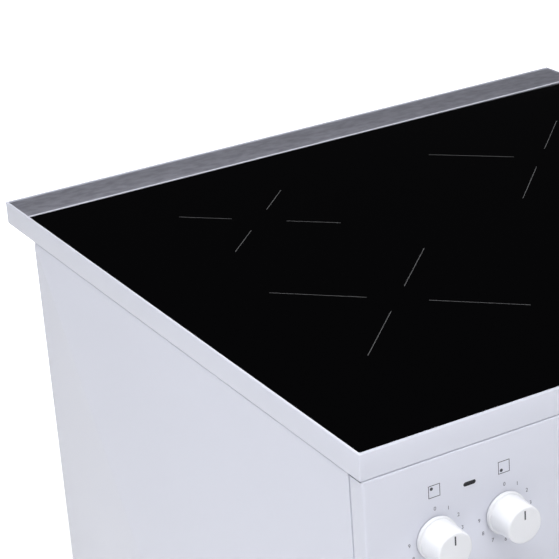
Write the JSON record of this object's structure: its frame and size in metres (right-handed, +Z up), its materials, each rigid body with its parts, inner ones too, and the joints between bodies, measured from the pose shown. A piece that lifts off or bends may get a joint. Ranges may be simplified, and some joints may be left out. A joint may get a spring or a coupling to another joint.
{
  "type": "freestanding induction cooker",
  "caption": "White freestanding cooker with a black induction hob, rotary controls, an oven behind a drop-down door and a storage drawer.",
  "frame": {"origin": "on the floor, in the middle of the bounding box, with the door handle included", "axes": "+X to the cooker's right seen from the front, +Y to the rear, +Z up"},
  "size_m": [0.6, 0.645, 0.85],
  "materials": {
    "white_enamel": "white enamel, half gloss",
    "white_plastic": "white, half gloss",
    "black_glass": "opaque black ceramic glass, polished",
    "smoked_glass": "smoked clear glass",
    "brushed_steel": "fine brushed",
    "chromed_wire": "chromed wire",
    "galvanised_steel": "zinc coated sheet, dull",
    "aluminium": "mill finish",
    "copper_winding": "lacquered copper litz wire, wound flat",
    "grey_enamel": "dark grey oven enamel",
    "dark_plastic": "black, matt",
    "black_rubber": "black, matt",
    "heating_element": "oxidised steel tube",
    "circuit_board": "green lacquered board",
    "glass_wool": "pressed glass wool"
  },
  "bodies": {
    "cooker": {"base_pan": "galvanised_steel", "blower_housing": "dark_plastic", "ceramic_glass": "black_glass", "coil_carrier_front_left": "dark_plastic", "coil_carrier_front_right": "dark_plastic", "coil_carrier_rear_left": "dark_plastic", "coil_carrier_rear_right": "dark_plastic", "coil_tray": "aluminium", "coil_winding_front_left": "copper_winding", "coil_winding_front_right": "copper_winding", "coil_winding_rear_left": "copper_winding", "coil_winding_rear_right": "copper_winding", "control_board": "circuit_board", "control_panel": "white_enamel", "display_window": "black_glass", "door_seal": "black_rubber", "electronics_pan": "galvanised_steel", "fan_cover": "grey_enamel", "fan_motor": "galvanised_steel", "front_left_foot": "dark_plastic", "front_right_foot": "dark_plastic", "glass_seal": "black_rubber", "grill_element": "heating_element", "heat_sink": "aluminium", "hob_frame": "white_enamel", "insulation_blanket": "glass_wool", "left_door_hinge": "galvanised_steel", "left_shelf_rack": "chromed_wire", "left_side_panel": "white_enamel", "oven_face": "grey_enamel", "oven_liner": "grey_enamel", "pilot_window_left": "black_glass", "pilot_window_right": "black_glass", "power_board": "circuit_board", "rear_left_foot": "dark_plastic", "rear_panel": "galvanised_steel", "rear_right_foot": "dark_plastic", "rear_strip": "brushed_steel", "right_door_hinge": "galvanised_steel", "right_shelf_rack": "chromed_wire", "right_side_panel": "white_enamel", "terminal_block": "dark_plastic"},
    "door": {"door_skin": "white_enamel", "door_outer_glass": "black_glass", "door_liner": "grey_enamel", "door_inner_glass": "smoked_glass", "door_handle": "brushed_steel"},
    "drawer": {"drawer_front": "white_enamel", "drawer_box": "galvanised_steel"},
    "rear_left_knob": {"rear_left_knob": "white_plastic"},
    "front_left_knob": {"front_left_knob": "white_plastic"},
    "oven_function_knob": {"oven_function_knob": "white_plastic"},
    "oven_temperature_knob": {"oven_temperature_knob": "white_plastic"},
    "front_right_knob": {"front_right_knob": "white_plastic"},
    "rear_right_knob": {"rear_right_knob": "white_plastic"},
    "timer_minus_button": {"timer_minus_button": "white_plastic"},
    "timer_plus_button": {"timer_plus_button": "white_plastic"},
    "wire_shelf": {"wire_shelf": "chromed_wire"},
    "blower_rotor": {"blower_rotor": "dark_plastic"},
    "oven_fan": {"oven_fan": "brushed_steel"}
  },
  "joints": [
    {"name": "door_hinge", "type": "hinge", "parent": "cooker", "child": "door", "pos_m": [0, -0.2695, 0.215], "axis": [1, 0, 0], "range_deg": [0, 90]},
    {"name": "drawer_slide", "type": "slide", "parent": "cooker", "child": "drawer", "axis": [0, -1, 0], "range_m": [0, 0.38]},
    {"name": "rear_left_knob_turn", "type": "hinge", "parent": "cooker", "child": "rear_left_knob", "pos_m": [-0.2432, -0.2788, 0.7691], "axis": [0, 1, 0], "range_deg": [0, 270]},
    {"name": "front_left_knob_turn", "type": "hinge", "parent": "cooker", "child": "front_left_knob", "pos_m": [-0.1857, -0.2788, 0.7691], "axis": [0, 1, 0], "range_deg": [0, 270]},
    {"name": "oven_function_knob_turn", "type": "hinge", "parent": "cooker", "child": "oven_function_knob", "pos_m": [-0.104, -0.2788, 0.7691], "axis": [0, 1, 0], "range_deg": [0, 315]},
    {"name": "oven_temperature_knob_turn", "type": "hinge", "parent": "cooker", "child": "oven_temperature_knob", "pos_m": [0.104, -0.2788, 0.7691], "axis": [0, 1, 0], "range_deg": [0, 270]},
    {"name": "front_right_knob_turn", "type": "hinge", "parent": "cooker", "child": "front_right_knob", "pos_m": [0.1857, -0.2788, 0.7691], "axis": [0, 1, 0], "range_deg": [0, 270]},
    {"name": "rear_right_knob_turn", "type": "hinge", "parent": "cooker", "child": "rear_right_knob", "pos_m": [0.2432, -0.2788, 0.7691], "axis": [0, 1, 0], "range_deg": [0, 270]},
    {"name": "timer_minus_button_press", "type": "slide", "parent": "cooker", "child": "timer_minus_button", "axis": [0, 1, 0], "range_m": [0, 0.0012], "stiffness_N_per_m": 400, "springref_m": -0.0005},
    {"name": "timer_plus_button_press", "type": "slide", "parent": "cooker", "child": "timer_plus_button", "axis": [0, 1, 0], "range_m": [0, 0.0012], "stiffness_N_per_m": 400, "springref_m": -0.0005},
    {"name": "shelf_slide", "type": "slide", "parent": "cooker", "child": "wire_shelf", "axis": [0, -1, 0], "range_m": [0, 0.025]},
    {"name": "blower_spin", "type": "hinge", "parent": "cooker", "child": "blower_rotor", "pos_m": [0.13, 0.08, 0.7815], "axis": [0, 0, 1], "continuous": true},
    {"name": "oven_fan_spin", "type": "hinge", "parent": "cooker", "child": "oven_fan", "pos_m": [0, 0.176, 0.455], "axis": [0, 1, 0], "continuous": true}
  ]
}
